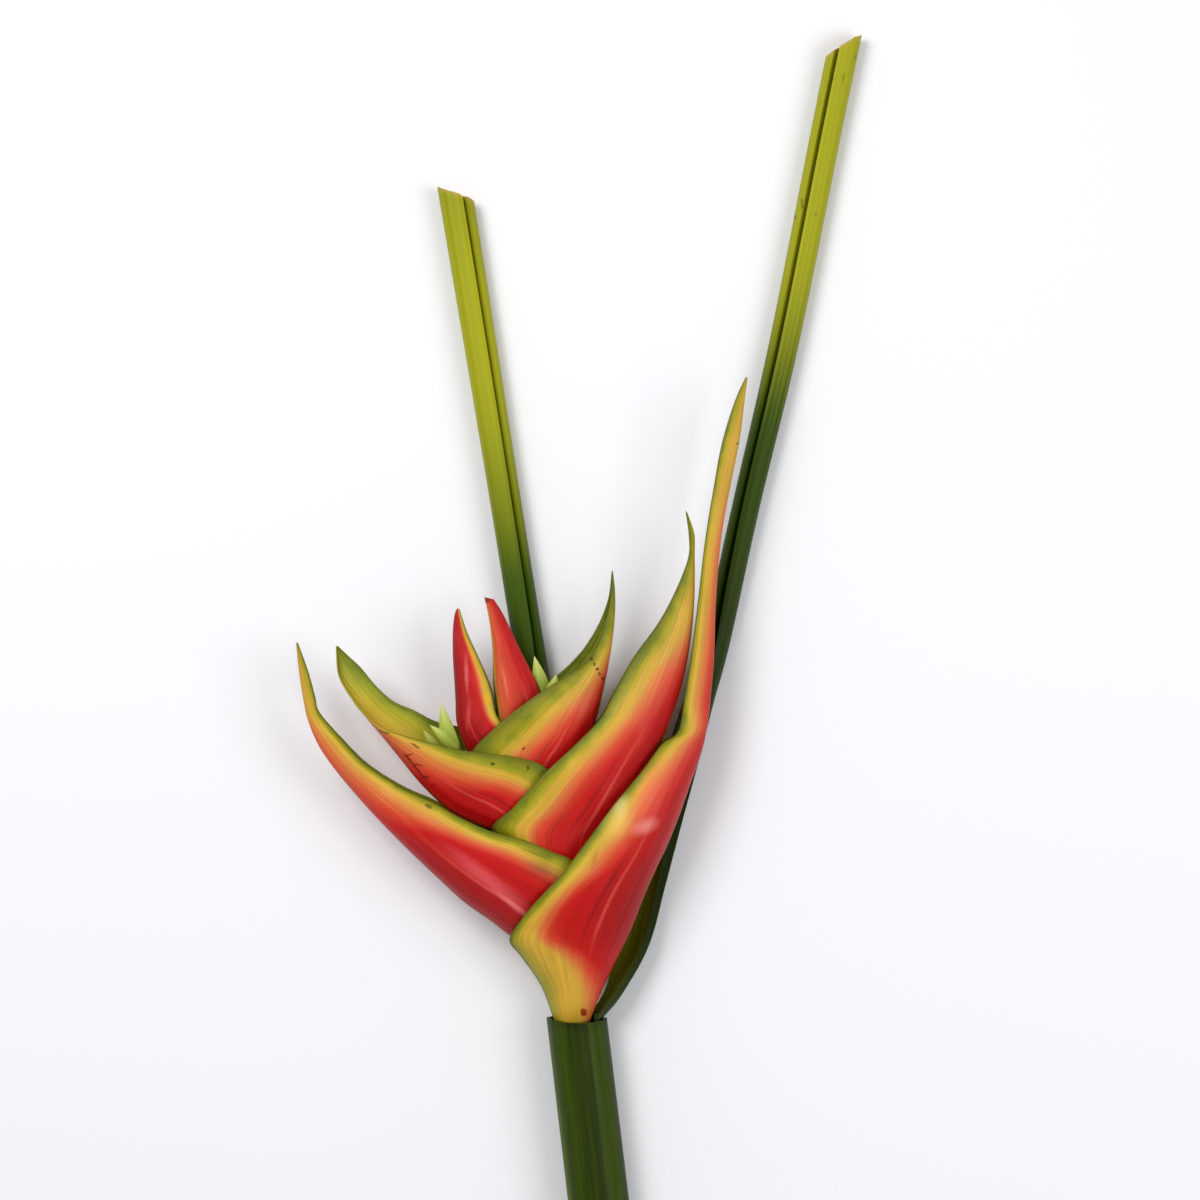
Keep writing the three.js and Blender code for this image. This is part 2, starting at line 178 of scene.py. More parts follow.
BRACT_4 = (
    (-21.8, 68.2, -11.6, 73, 4.4, 0.5),
    (-27.5, 71.6, -6, 80, 6, 0.5),
    (-33.5, 74.2, -4.5, 88, 7.4, 4),
    (-41, 77, -13, 98.5, 9, 8, -14.4, 102, 8),
    (-48.6, 81, -25, 102.2, 9.9, 9.2, -26.6, 108, 9.2),
    (-55.5, 87, -36.5, 103.5, 10, 9.2, -36.5, 111, 8.6),
    (-61.6, 93.5, -46.7, 105, 9.8, 8.8, -46.4, 113, 7.6),
    (-67.3, 100.6, -56.2, 107.5, 9, 7.8, -54.7, 115, 6.8),
    (-72.6, 107.2, -65, 109.8, 7.8, 6.8, -62.4, 119, 6),
    (-78, 113.6, -73, 112.2, 6.4, 5.6, -70, 122.4, 5.2),
    (-83.6, 120.6, -80.5, 118.6, 5, 4.2, -76.4, 128, 4.2),
    (-88.2, 127, -86, 125.8, 3.6, 3, -82.5, 135.4, 3),
    (-91.1, 133.4, -90, 133, 2.2, 1.6, -87, 139.8, 1.6),
    (-91.8, 143.4, -91.2, 143.3, 0.8, 0.5, -91.1, 143.8, 0.5),
)
BRACT_5 = (
    (-13.5, 80.3, -25.6, 86.4, 3.9, 0.5),
    (-7, 88.5, -37.5, 93, 6, 2.6),
    (-0.4, 97, -41, 102, 7.8, 5),
    (3.5, 104.5, -31.2, 113, 8.8, 7.4),
    (6.5, 114, -22, 120.5, 9.2, 8, -22, 121.6, 7.6),
    (8.8, 123, -12.5, 127.4, 8.6, 7.4, -13.3, 129, 6.8),
    (11, 133, -3.8, 132.6, 7.4, 6.2, -5.7, 134.4, 5.6),
    (12.6, 142, 3.4, 138, 5.6, 4.6, 0.8, 141, 4.2),
    (13.7, 150.4, 7.6, 144.6, 3.8, 3, 5.3, 147.4, 2.8),
    (14.2, 158, 10.6, 153, 2.4, 1.8, 9, 154.5, 1.7),
    (14.1, 165, 12.3, 162, 1.5, 1, 11.7, 162.5, 1),
    (13.3, 172.2, 12.8, 171.8, 0.8, 0.5),
)
BRACT_6 = (
    (-30.8, 91.4, -21.6, 95.2, 3.2, 0.5),
    (-37, 97.5, -17.2, 103, 5, 3.2),
    (-42.6, 105, -24, 110, 5.7, 4.8),
    (-46, 114.4, -30.4, 117, 6.4, 5),
    (-46.5, 123, -32.4, 125.6, 6.4, 4.6),
    (-47, 131.5, -34.6, 132, 5.8, 3.6),
    (-47.5, 140.2, -38, 139.8, 4.8, 2.6),
    (-47.5, 149, -41.8, 148.2, 3.2, 1.5),
    (-46.9, 155, -43.9, 154.4, 1.7, 0.9),
    (-46, 157.8, -44.9, 157.8, 0.9, 0.5),
)
BRACT_7 = (
    (-21, 99, -29, 102, 2.8, 0.5),
    (-15.4, 109, -30, 110.5, 3.7, 0.5),
    (-13, 118.6, -31, 118.6, 5.4, 0.6),
    (-14.8, 127.4, -32, 127, 5.2, 0.6),
    (-18.6, 135.7, -32.3, 135, 4.8, 0.8),
    (-22.4, 143.3, -32.5, 143, 4.2, 1),
    (-25.8, 150.5, -33.2, 150, 3.2, 1),
    (-28.9, 156.6, -34.2, 156.2, 2.2, 0.9),
    (-32, 161.4, -35.6, 162.2, 0.9, 0.5),
)

# Where a bract's colours change, as shares of the way from rim to keel: how far the green band runs, then the
# yellow, and where it is fully red. There is one row for each rib.
BANDS_1 = (
    (0.03, 0.8, 1.4), (0.03, 0.7, 1.1), (0.04, 0.46, 0.78), (0.05, 0.22, 0.44), (0.06, 0.15, 0.34),
    (0.08, 0.17, 0.4), (0.1, 0.22, 0.56), (0.12, 0.27, 0.7), (0.13, 0.3, 0.78), (0.15, 0.32, 0.8),
    (0.2, 0.4, 0.9), (0.26, 0.5, 1.1), (0.1, 0.32, 1.0), (0.08, 0.34, 1.2), (0.08, 0.45, 1.5),
    (0.1, 0.6, 1.8), (0.12, 0.8, 2.2), (0.2, 1.0, 3.0), (0.24, 1.4, 3.0), (0.3, 1.8, 4.0),
)
BANDS_2 = (
    (0.1, 0.2, 0.36), (0.1, 0.2, 0.36), (0.1, 0.18, 0.34), (0.1, 0.17, 0.32), (0.09, 0.16, 0.32),
    (0.1, 0.18, 0.36), (0.1, 0.21, 0.5), (0.11, 0.26, 0.9), (0.11, 0.3, 1.2), (0.13, 0.34, 1.4),
    (0.16, 0.42, 1.6), (0.2, 0.7, 1.9), (0.2, 1.0, 2.8), (0.22, 1.4, 3.5), (0.3, 1.8, 4.5),
)
BANDS_3 = (
    (0.14, 0.26, 0.42), (0.14, 0.26, 0.42), (0.14, 0.26, 0.44), (0.13, 0.25, 0.48), (0.13, 0.25, 0.52),
    (0.13, 0.26, 0.6), (0.14, 0.3, 0.7), (0.16, 0.38, 0.86), (0.2, 0.5, 1.05), (0.28, 0.72, 1.4),
    (0.36, 1.0, 2.0), (0.45, 1.5, 2.8), (0.5, 1.9, 4.0), (0.6, 2.4, 5.0), (0.7, 2.6, 6.0),
)
BANDS_4 = (
    (0.16, 0.3, 0.5), (0.16, 0.3, 0.5), (0.16, 0.28, 0.5), (0.2, 0.32, 0.52), (0.2, 0.33, 0.62),
    (0.18, 0.32, 0.76), (0.16, 0.32, 0.95), (0.12, 0.3, 1.2), (0.1, 0.3, 1.4), (0.1, 0.4, 1.6),
    (0.14, 0.6, 1.8), (0.24, 0.9, 2.4), (0.4, 1.2, 3.4), (0.5, 1.4, 3.6),
)
BANDS_5 = (
    (0.2, 0.3, 0.48), (0.2, 0.3, 0.48), (0.22, 0.33, 0.58), (0.26, 0.4, 0.7), (0.28, 0.46, 0.84),
    (0.32, 0.54, 1.0), (0.38, 0.68, 1.2), (0.48, 0.92, 1.6), (0.7, 1.4, 2.3), (1.0, 2.0, 3.2),
    (1.2, 2.6, 4.0), (1.4, 3.0, 4.5),
)
BANDS_6 = (
    (0.02, 0.1, 0.2), (0.02, 0.1, 0.2), (0.02, 0.12, 0.22), (0.03, 0.16, 0.28), (0.04, 0.22, 0.36),
    (0.04, 0.2, 0.36), (0.04, 0.2, 0.36), (0.05, 0.22, 0.4), (0.06, 0.26, 0.46), (0.08, 0.36, 0.6),
)
BANDS_7 = (
    (0.0, 0.02, 0.1), (0.0, 0.03, 0.12), (0.0, 0.04, 0.12), (0.0, 0.03, 0.1), (0.0, 0.02, 0.08),
    (0.0, 0.01, 0.06), (0.0, 0.01, 0.06), (0.0, 0.01, 0.06), (0.0, 0.01, 0.06),
)

KEEL_POWER = 2.2
KEEL_ROUND = 0.56
OPEN_LIP = 3.0
SHUT_LIP = 6.0


def cheek(s, belly, lip):
    """Half a bract's width in section. s is 0 at the rim and 1 at the keel."""
    rounded = max(0.0, 1 - s ** KEEL_POWER) ** KEEL_ROUND
    sharpness = mix(SHUT_LIP, OPEN_LIP, min(1.0, 2 * lip / belly))
    return belly * rounded - (belly - lip) * (1 - s) ** sharpness


class Bract:
    """Where each point of a bract is, from its ribs."""

    def __init__(self, ribs, rise, side):
        self.keel = tuple((r[0], r[1], r[4]) for r in ribs)
        self.front = tuple((r[2], r[3], r[5]) for r in ribs)
        self.back = tuple((r[6], r[7], r[8]) if len(r) > 6 else (r[2], r[3], r[5]) for r in ribs)
        self.rise = rise
        self.side = side

    def point(self, u, v):
        """u runs from foot to tip. v is -1 at the front rim, 0 at the keel and 1 at the back rim."""
        kx, ky, belly = spline(self.keel, u)
        rx, ry, lip = spline(self.front if v < 0 else self.back, u)
        s = share_from_rim(v)
        x, y = mix(rx, kx, s), mix(ry, ky, s)
        half = cheek(s, belly, lip)
        z = head_level(y) + self.rise * u * u + (half if v < 0 else -half)
        return Vector((x, y, z))

    def wall(self, u, v, full):
        kx, ky, belly = spline(self.keel, u)
        rx, ry, _ = spline(self.front, u)
        most = min(full, 0.3 * belly, 0.2 * hypot(kx - rx, ky - ry))
        return most * mix(0.45, 1.0, ease(0, 0.25, share_from_rim(v)))


def share_from_rim(v):
    """The share of the way from rim to keel. Points crowd at both, where the shape is finest."""
    a = 1 - abs(v)
    return clamp(mix(a, a * (2 - a), 0.85))


def sheet(name, columns, rows, place):
    """Add a grid and move each of its points to place(u, v), in millimetres, with u in 0..1 and v in -1..1."""
    bpy.ops.object.select_all(action="DESELECT")
    bpy.ops.mesh.primitive_grid_add(x_subdivisions=columns, y_subdivisions=rows, size=2, calc_uvs=True)
    piece = bpy.context.object
    piece.name = name
    piece.data.name = name
    spots = [((p.co.y + 1) / 2, p.co.x) for p in piece.data.vertices]
    for point, (u, v) in zip(piece.data.vertices, spots):
        point.co = HOME + place(u, v) * MM
    return piece, spots


def note(piece, name, values):
    """Keep one number for each point, for the materials to read."""
    layer = piece.data.attributes.new(name, "FLOAT", "POINT")
    layer.data.foreach_set("value", values)


def note_vector(piece, name, values):
    layer = piece.data.attributes.new(name, "FLOAT_VECTOR", "POINT")
    layer.data.foreach_set("vector", [n for value in values for n in value])


def edit(piece, *steps):
    """Run edit-mode steps on every face of one piece."""
    bpy.ops.object.select_all(action="DESELECT")
    piece.select_set(True)
    bpy.context.view_layer.objects.active = piece
    bpy.ops.object.mode_set(mode="EDIT")
    bpy.ops.mesh.select_all(action="SELECT")
    for step in steps:
        step()
    bpy.ops.object.mode_set(mode="OBJECT")


def apply(piece, kind, **settings):
    """Add a modifier and apply it."""
    modifier = piece.modifiers.new(kind.lower(), kind)
    for key, value in settings.items():
        setattr(modifier, key, value)
    bpy.ops.object.select_all(action="DESELECT")
    piece.select_set(True)
    bpy.context.view_layer.objects.active = piece
    bpy.ops.object.modifier_apply(modifier=modifier.name)


def give_wall(piece, weights, thickness, lining=0, rim=0):
    """Thicken a sheet inwards. weights hold each point's share of the thickness."""
    group = piece.vertex_groups.new(name="wall")
    for i, weight in enumerate(weights):
        group.add([i], clamp(weight), "REPLACE")
    apply(
        piece, "SOLIDIFY", thickness=thickness * MM, offset=-1, use_even_offset=False, vertex_group="wall",
        thickness_vertex_group=0.0, material_offset=lining, material_offset_rim=rim,
    )


def smooth(piece, angle=None):
    bpy.ops.object.select_all(action="DESELECT")
    piece.select_set(True)
    bpy.context.view_layer.objects.active = piece
    if angle is None:
        bpy.ops.object.shade_smooth()
    else:
        bpy.ops.object.shade_smooth_by_angle(angle=radians(angle))


def hand_over(piece, *nodes):
    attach(piece, BODY)
    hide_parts(*nodes)


# Materials.


def colour(hex_code):
    """A colour written as six hex digits, made linear."""
    parts = [int(hex_code[i:i + 2], 16) / 255 for i in (0, 2, 4)]
    return (*[p / 12.92 if p <= 0.04045 else ((p + 0.055) / 1.055) ** 2.4 for p in parts], 1.0)


class Recipe:
    """A material being written, with short ways to add and join its nodes."""

    def __init__(self, name):
        self.material = bpy.data.materials.new(name)
        self.material.use_nodes = True
        self.tree = self.material.node_tree
        self.tree.nodes.clear()
        self.out = self.tree.nodes.new("ShaderNodeOutputMaterial")
        self.shader = self.tree.nodes.new("ShaderNodeBsdfPrincipled")
        self.join(self.shader.outputs["BSDF"], self.out.inputs["Surface"])

    def add(self, kind, **settings):
        node = self.tree.nodes.new(kind)
        for key, value in settings.items():
            setattr(node, key, value)
        return node

    def join(self, source, target):
        self.tree.links.new(source, target)

    def put(self, target, value):
        if isinstance(value, bpy.types.NodeSocket):
            self.join(value, target)
        else:
            target.default_value = value

    def set(self, **values):
        for key, value in values.items():
            self.put(self.shader.inputs[key.replace("_", " ")], value)

    def attribute(self, name, output="Fac"):
        return self.add("ShaderNodeAttribute", attribute_name=name).outputs[output]

    def uv(self):
        return self.add("ShaderNodeUVMap", uv_map="UVMap").outputs["UV"]

    def place(self):
        return self.add("ShaderNodeTexCoord").outputs["Object"]

    def split(self, vector):
        node = self.add("ShaderNodeSeparateXYZ")
        self.join(vector, node.inputs[0])
        return node.outputs

    def math(self, operation, a, b=0.0, c=None, clamped=False):
        node = self.add("ShaderNodeMath", operation=operation, use_clamp=clamped)
        self.put(node.inputs[0], a)
        self.put(node.inputs[1], b)
        if c is not None:
            self.put(node.inputs[2], c)
        return node.outputs[0]

    def scaled(self, vector, scale, shift=(0, 0, 0)):
        node = self.add("ShaderNodeMapping")
        self.join(vector, node.inputs["Vector"])
        node.inputs["Scale"].default_value = scale
        node.inputs["Location"].default_value = shift
        return node.outputs[0]

    def noise(self, vector, scale=1.0, detail=3.0, rough=0.5):
        node = self.add("ShaderNodeTexNoise")
        self.join(vector, node.inputs["Vector"])
        node.inputs["Scale"].default_value = scale
        node.inputs["Detail"].default_value = detail
        node.inputs["Roughness"].default_value = rough
        return node.outputs["Fac"]

    def range(self, value, low, high, to_low=0.0, to_high=1.0, smooth=False):
        node = self.add("ShaderNodeMapRange", interpolation_type="SMOOTHSTEP" if smooth else "LINEAR")
        for socket, number in zip(node.inputs, (value, low, high, to_low, to_high)):
            self.put(socket, number)
        return node.outputs[0]

    def ramp(self, factor, stops):
        node = self.add("ShaderNodeValToRGB")
        self.put(node.inputs[0], factor)
        band = node.color_ramp
        while len(band.elements) < len(stops):
            band.elements.new(0.5)
        for element, (position, paint) in zip(band.elements, stops):
            element.position = position
            element.color = paint
        return node.outputs["Color"]

    def blend(self, factor, a, b, mode="MIX"):
        node = self.add("ShaderNodeMix", data_type="RGBA", blend_type=mode)
        self.put(node.inputs["Factor"], factor)
        self.put(node.inputs["A"], a)
        self.put(node.inputs["B"], b)
        return node.outputs["Result"]

    def bump(self, height, distance, strength=1.0):
        node = self.add("ShaderNodeBump")
        node.inputs["Strength"].default_value = strength
        node.inputs["Distance"].default_value = distance
        self.join(height, node.inputs["Height"])
        return node.outputs["Normal"]

    def mark(self, place, centre, half, turn, soft=0.6):
        """1 inside a turned ellipsoid and 0 outside it. centre and half are in the flower's millimetres."""
        node = self.add("ShaderNodeMapping", vector_type="TEXTURE")
        self.join(place, node.inputs["Vector"])
        node.inputs["Location"].default_value = HOME + Vector(centre) * MM
        node.inputs["Rotation"].default_value = (0, 0, radians(turn))
        node.inputs["Scale"].default_value = Vector(half) * MM
        length = self.add("ShaderNodeVectorMath", operation="LENGTH")
        self.join(node.outputs[0], length.inputs[0])
        return self.range(length.outputs["Value"], 1.0, soft, smooth=True)


def waxy(recipe, roughness, coat, shine=0.3):
    recipe.shader.inputs["IOR"].default_value = 1.45
    recipe.shader.inputs["Specular IOR Level"].default_value = shine
    recipe.shader.inputs["Coat Weight"].default_value = coat
    recipe.shader.inputs["Coat Roughness"].default_value = 0.2
    recipe.shader.inputs["Coat IOR"].default_value = 1.4
    recipe.put(recipe.shader.inputs["Roughness"], roughness)


def bract_skin(name, looks, marks=(), lining=False):
    """Red cheeks that turn yellow and then green at the rim, with fine veins that run from foot to tip."""
    r = Recipe(name)
    s = r.attribute("from_rim")
    bands = r.split(r.attribute("bands", "Vector"))
    veins = r.noise(r.scaled(r.uv(), (150, 2.2, 1)), detail=4, rough=0.62)
    broad = r.noise(r.scaled(r.uv(), (26, 1.6, 1), (3, 7, 0)), detail=3)
    cloud = r.noise(r.scaled(r.place(), (60, 60, 60)), detail=2)
    wander = r.math(
        "ADD", r.math("MULTIPLY_ADD", veins, 0.16, -0.08), r.math("MULTIPLY_ADD", broad, 0.34, -0.17),
    )
    shifted = r.math("MULTIPLY", s, r.math("ADD", wander, 1.0))
    tone = r.range(shifted, 0.0, bands[0], 0.0, 0.2)
    full = r.math("ADD", bands[2], 0.7)
    for low, high, share in ((bands[0], bands[1], 0.22), (bands[1], bands[2], 0.34), (bands[2], full, 0.24)):
        tone = r.math("ADD", tone, r.range(shifted, low, high, 0.0, share))
    tone = r.math("ADD", tone, r.math("MULTIPLY_ADD", cloud, 0.1, -0.05), clamped=True)
    if lining:
        stops = (
            (0.0, colour("66701a")), (0.2, colour("8c9524")), (0.42, colour("b9ad2c")),
            (0.6, colour("d0a436")), (0.8, colour("c98a3c")), (1.0, colour("b0703a")),
        )
    else:
        stops = (
            (0.0, looks.edge_green), (0.1, looks.rim_green), (0.2, looks.rim_lime),
            (0.3, looks.band_yellow), (0.4, looks.band_yellow), (0.5, looks.band_orange),
            (0.63, looks.cheek_coral), (0.77, looks.cheek_red), (1.0, looks.keel_red),
        )
    paint = r.ramp(tone, [(at, tuple(c)) for at, c in stops])
    # Painted sheen and painted shade: the cheek is painted paler coral where the broad swells of its bump
    # rise, and darker red in their dips.
    painted_sheen = r.math("MULTIPLY", r.range(broad, 0.56, 0.74, 0.0, 0.4, smooth=True), r.range(s, 0.3, 0.6))
    paint = r.blend(painted_sheen, paint, colour("e4604e"))
    shadow = r.math("MULTIPLY", r.range(broad, 0.44, 0.3, 0.0, 0.45, smooth=True), r.range(s, 0.3, 0.6))
    paint = r.blend(shadow, paint, colour("6e080e"))
    patches = r.noise(r.scaled(r.place(), (170, 170, 170), (0.3, 0, 0)), detail=3)
    fresh = r.math("SUBTRACT", 1.0, r.range(shifted, 0.0, r.math("MULTIPLY_ADD", bands[0], 1.6, 0.002)))
    fresh = r.math("MULTIPLY", fresh, r.range(patches, 0.42, 0.64, 0.0, 0.75))
    fresh = r.math("MULTIPLY", fresh, r.range(bands[0], 0.0, 0.08))
    paint = r.blend(fresh, paint, colour("566e0a"))
    streak = r.math("MULTIPLY", r.range(veins, 0.34, 0.66, 0.8, 1.12), r.range(cloud, 0.3, 0.7, 0.92, 1.06))
    grey = r.add("ShaderNodeCombineColor")
    for socket in grey.inputs[:3]:
        r.join(streak, socket)
    paint = r.blend(1.0, paint, grey.outputs[0], "MULTIPLY")
    place = r.place()
    wobble = r.add("ShaderNodeVectorMath", operation="MULTIPLY_ADD")
    fuzz = r.add("ShaderNodeTexNoise")
    r.join(place, fuzz.inputs["Vector"])
    fuzz.inputs["Scale"].default_value = 900
    r.join(fuzz.outputs["Color"], wobble.inputs[0])
    wobble.inputs[1].default_value = (0.0011, 0.0011, 0)
    r.join(place, wobble.inputs[2])
    # Each mark paints its colour over the skin: stains, scratches and spots, and also painted highlights and
    # painted shade.
    for centre, half, turn, strength, stain_and_painted_light in marks:
        spot = r.mark(wobble.outputs[0], centre, half, turn, MARK_EDGE if strength > STRONG_MARK else 0.0)
        paint = r.blend(r.math("MULTIPLY", spot, strength), paint, colour(stain_and_painted_light))
    r.set(Base_Color=paint)
    matt = r.range(s, 0.05, 0.4, 0.22, 0.0)
    waxy(r, r.math("ADD", r.range(broad, 0.3, 0.7, 0.3, 0.42), matt), 0.07, 0.24)
    r.shader.inputs["Subsurface Weight"].default_value = 0.04
    r.shader.inputs["Subsurface Radius"].default_value = (1.0, 0.35, 0.12)
    r.shader.inputs["Subsurface Scale"].default_value = 0.002
    height = r.math("ADD", r.math("MULTIPLY", veins, 0.7), r.math("MULTIPLY", broad, 1.6))
    r.set(Normal=r.bump(height, 0.0004, 0.7))
    return r.material


def rim_edge(name):
    """The thin dry edge of a bract."""
    r = Recipe(name)
    fine = r.noise(r.scaled(r.uv(), (4, 60, 1)), detail=3)
    r.set(Base_Color=r.ramp(fine, ((0.3, colour("4f4a0c")), (0.62, colour("8f7a26")))))
    waxy(r, 0.5, 0.04, 0.2)
    r.set(Normal=r.bump(fine, 0.0001, 0.3))
    return r.material


def stalk_skin(name, dark, mid, light, flesh):
    """Green leaf-stalk skin: lengthwise ribs in several greens, and pale stringy flesh where it is cut."""
    r = Recipe(name)
    ribs = r.noise(r.scaled(r.uv(), (46, 2.5, 1)), detail=4, rough=0.6)
    fine = r.noise(r.scaled(r.uv(), (210, 9, 1), (5, 1, 0)), detail=3)
    shade = r.attribute("shade")
    tone = r.math("ADD", shade, r.math("MULTIPLY_ADD", ribs, 0.5, -0.25))
    tone = r.math("ADD", tone, r.math("MULTIPLY_ADD", fine, 0.2, -0.1), clamped=True)
    paint = r.ramp(tone, ((0.0, dark), (0.38, mid), (0.85, light)))
    flecks = r.noise(r.scaled(r.place(), (420, 160, 420)), detail=2)
    freckles = r.math("MULTIPLY", r.range(flecks, 0.66, 0.74), r.attribute("freckle"))
    paint = r.blend(freckles, paint, colour("4a3a18"))
    cells = r.noise(r.scaled(r.place(), (900, 260, 900)), detail=2)
    pulp = r.blend(cells, flesh, colour("8f8a3c"))
    paint = r.blend(r.attribute("cut"), paint, pulp)
    r.set(Base_Color=paint)
    waxy(r, r.range(ribs, 0.3, 0.7, 0.4, 0.55), 0.03, 0.12)
    r.shader.inputs["Subsurface Weight"].default_value = 0.04
    r.shader.inputs["Subsurface Radius"].default_value = (0.5, 0.8, 0.15)
    r.shader.inputs["Subsurface Scale"].default_value = 0.002
    height = r.math("ADD", r.math("MULTIPLY", ribs, 1.0), r.math("MULTIPLY", fine, 0.35))
    r.set(Normal=r.bump(height, 0.0003, 0.6))
    return r.material


def floret_skin(looks):
    r = Recipe("floret_skin")
    veins = r.noise(r.scaled(r.uv(), (30, 3, 1)), detail=3)
    tone = r.math("ADD", r.attribute("toward_tip"), r.math("MULTIPLY_ADD", veins, 0.5, -0.25), clamped=True)
    r.set(Base_Color=r.ramp(tone, (
        (0.0, colour("6f7a18")), (0.45, tuple(looks.floret_green)),
        (0.8, colour("b4c05a")), (1.0, colour("c8cc86")),
    )))
    waxy(r, 0.45, 0.15)
    r.shader.inputs["Subsurface Weight"].default_value = 0.25
    r.shader.inputs["Subsurface Radius"].default_value = (0.7, 1.0, 0.3)
    r.shader.inputs["Subsurface Scale"].default_value = 0.003
    r.set(Normal=r.bump(veins, 0.0002, 0.5))
    return r.material


# Sizes, colours and light that a user would change.


def paint_property(name, description, hex_code):
    return FloatVectorProperty(
        name=name, description=description, subtype="COLOR", size=4, min=0, max=1, default=colour(hex_code)
    )


def size_property(name, description, millimetres):
    return FloatProperty(name=name, description=description, default=millimetres * MM, min=0, unit="LENGTH")


class HeliconiaSizes(bpy.types.PropertyGroup):
    bract_wall: size_property("Bract wall", "Thickness of an open bract's wall", 1.15)
    bud_wall: size_property("Bud wall", "Thickness of a closed top bract's wall", 0.95)
    sheath_radius: size_property("Sheath radius", "Outer radius of the rolled leaf sheath", 11.9)
    sheath_wall: size_property("Sheath wall", "Thickness of the rolled leaf sheath", 1.4)
    waviness: size_property("Waviness", "How far a bract's surface swells and dips", 0.45)
    rows: IntProperty(name="Rows", description="Rows of faces along a bract", default=110, min=20, max=200)


class HeliconiaColours(bpy.types.PropertyGroup):
    edge_green: paint_property("Edge green", "The very edge of a bract", "66640c")
    rim_green: paint_property("Rim green", "The green band along a bract's rim", "858008")
    rim_lime: paint_property("Rim lime", "Where the rim's green turns yellow", "a29a14")
    band_yellow: paint_property("Band yellow", "The yellow band of a bract", "cfa436")
    band_orange: paint_property("Band orange", "Where the yellow turns red", "d67a3c")
    cheek_coral: paint_property("Cheek coral", "The pale red of a cheek's middle", "d04226")
    cheek_red: paint_property("Cheek red", "The full red of a cheek", "c0100c")
    keel_red: paint_property("Keel red", "The deep red along the keel", "980a10")
    floret_green: paint_property("Floret green", "The florets' pale green", "8f9c30")


class HeliconiaStudio(bpy.types.PropertyGroup):
    lens: FloatProperty(name="Lens", description="Focal length of the camera", default=100, unit="CAMERA")
    view_width: size_property("View width", "Width that the picture spans at the flower", 456)
    key: FloatProperty(name="Key light", description="Power of the large soft light", default=11, unit="POWER")
    fill: FloatProperty(name="Fill light", description="Power of the light opposite", default=6, unit="POWER")


def sizes():
    return bpy.context.scene.heliconia_sizes


def looks():
    return bpy.context.scene.heliconia_colours


# Marks on the skins: centre and half sizes in millimetres, turn in degrees, strength, and colour.
# Many are stains, scratches and spots; the painted highlights and painted shade among them are noted where
# they stand.
MARKS_1 = (
    ((15.4, 78, 37), (7.5, 11, 8), -32, 0.55, "e6c45a"),
    ((16.8, 84, 38), (4.2, 7, 6), -20, 0.45, "ecd890"),
    # Painted highlight: a pale pink glint on the swelling beside the bruise.
    ((26, 76.5, 38), (8.5, 4.4, 8), 20, 0.5, "f4a494"),
    # Painted sheen: a lighter coral patch where the cheek's upper middle catches the light.
    ((28, 92, 38), (6, 20, 10), -28, 0.5, "e8604a"),
    ((7, 64.5, 38), (1.5, 6, 8), -14, 0.3, "5e2a10"),
    ((13.5, 56, 38), (2.4, 9, 8), -24, 0.24, "4a0c10"),
    # Painted highlight: a pale yellow glint on the knob at the bend.
    ((37.4, 110.6, 29), (2.6, 1.6, 6), 30, 0.5, "d8c24e"),
    ((2.7, 4.3, 19), (1.5, 2.2, 6), 20, 0.9, "8e1408"),
    ((54.6, 221.8, 27), (0.6, 1.5, 6), 70, 0.85, "4a3410"),
    ((61.2, 221, 27), (0.5, 1.1, 6), 100, 0.8, "4a3410"),
)
MARKS_2 = (
    # Painted highlight: a long pink streak down the middle of the cheek, with a paler core nearer the foot.
    ((-33, 56, 36), (30, 4.6, 8), -37, 0.5, "f4686e"),
    ((-22, 45, 36), (16, 2, 8), -40, 0.45, "ff9c9c"),
    ((-12, 60, 36), (12, 5, 8), -22, 0.5, "5e0c12"),
    ((2, 52, 34), (5, 3, 8), -50, 0.35, "3c2c08"),
    ((-16, 66.4, 36), (8, 1.4, 8), -18, 0.4, "4a3608"),
    ((-55.6, 83.8, 33), (1.9, 0.9, 6), -24, 0.7, "4a3608"),
)
MARKS_3 = (
    ((-28.5, 74.9, 35), (1.2, 0.9, 6), 0, 0.8, "3c3a10"),
    ((8, 84, 37), (1.6, 10, 8), -36, 0.25, "52080c"),
    # Painted sheen: a paler coral streak on the cheek's swelling.
    ((24, 108, 37), (2, 12, 8), -30, 0.22, "f06a4a"),
)
MARKS_4 = (
    ((-60.6, 98.2, 34), (10.3, 0.6, 8), -52, 0.85, "74101a"),
    ((-63.6, 103, 34), (2.6, 0.55, 8), 14, 0.8, "74101a"),
    ((-60.2, 99.4, 34), (3.2, 0.5, 8), -8, 0.75, "74101a"),
    ((-57.4, 94.6, 34), (3.2, 0.6, 8), 12, 0.8, "74101a"),
    ((-62.6, 96.6, 34), (3.2, 0.45, 8), -74, 0.7, "74101a"),
    ((-54.6, 91.4, 34), (2, 0.5, 8), 30, 0.7, "74101a"),
    ((-60.8, 106.8, 34), (2.6, 0.55, 8), -30, 0.75, "5a1a10"),
    ((-72.8, 111.8, 34), (3.3, 0.5, 8), -18, 0.7, "5a4a10"),
    ((-31.5, 99.9, 36), (1, 0.9, 8), 0, 0.85, "3a3a10"),
    ((-18.2, 98.5, 36), (0.8, 1.2, 8), 0, 0.75, "2f3208"),
    ((-40, 88, 36), (10, 2.6, 8), -34, 0.3, "5a1418"),
    ((-28, 76, 34), (4, 1.6, 8), -30, 0.5, "2e2a0a"),
)
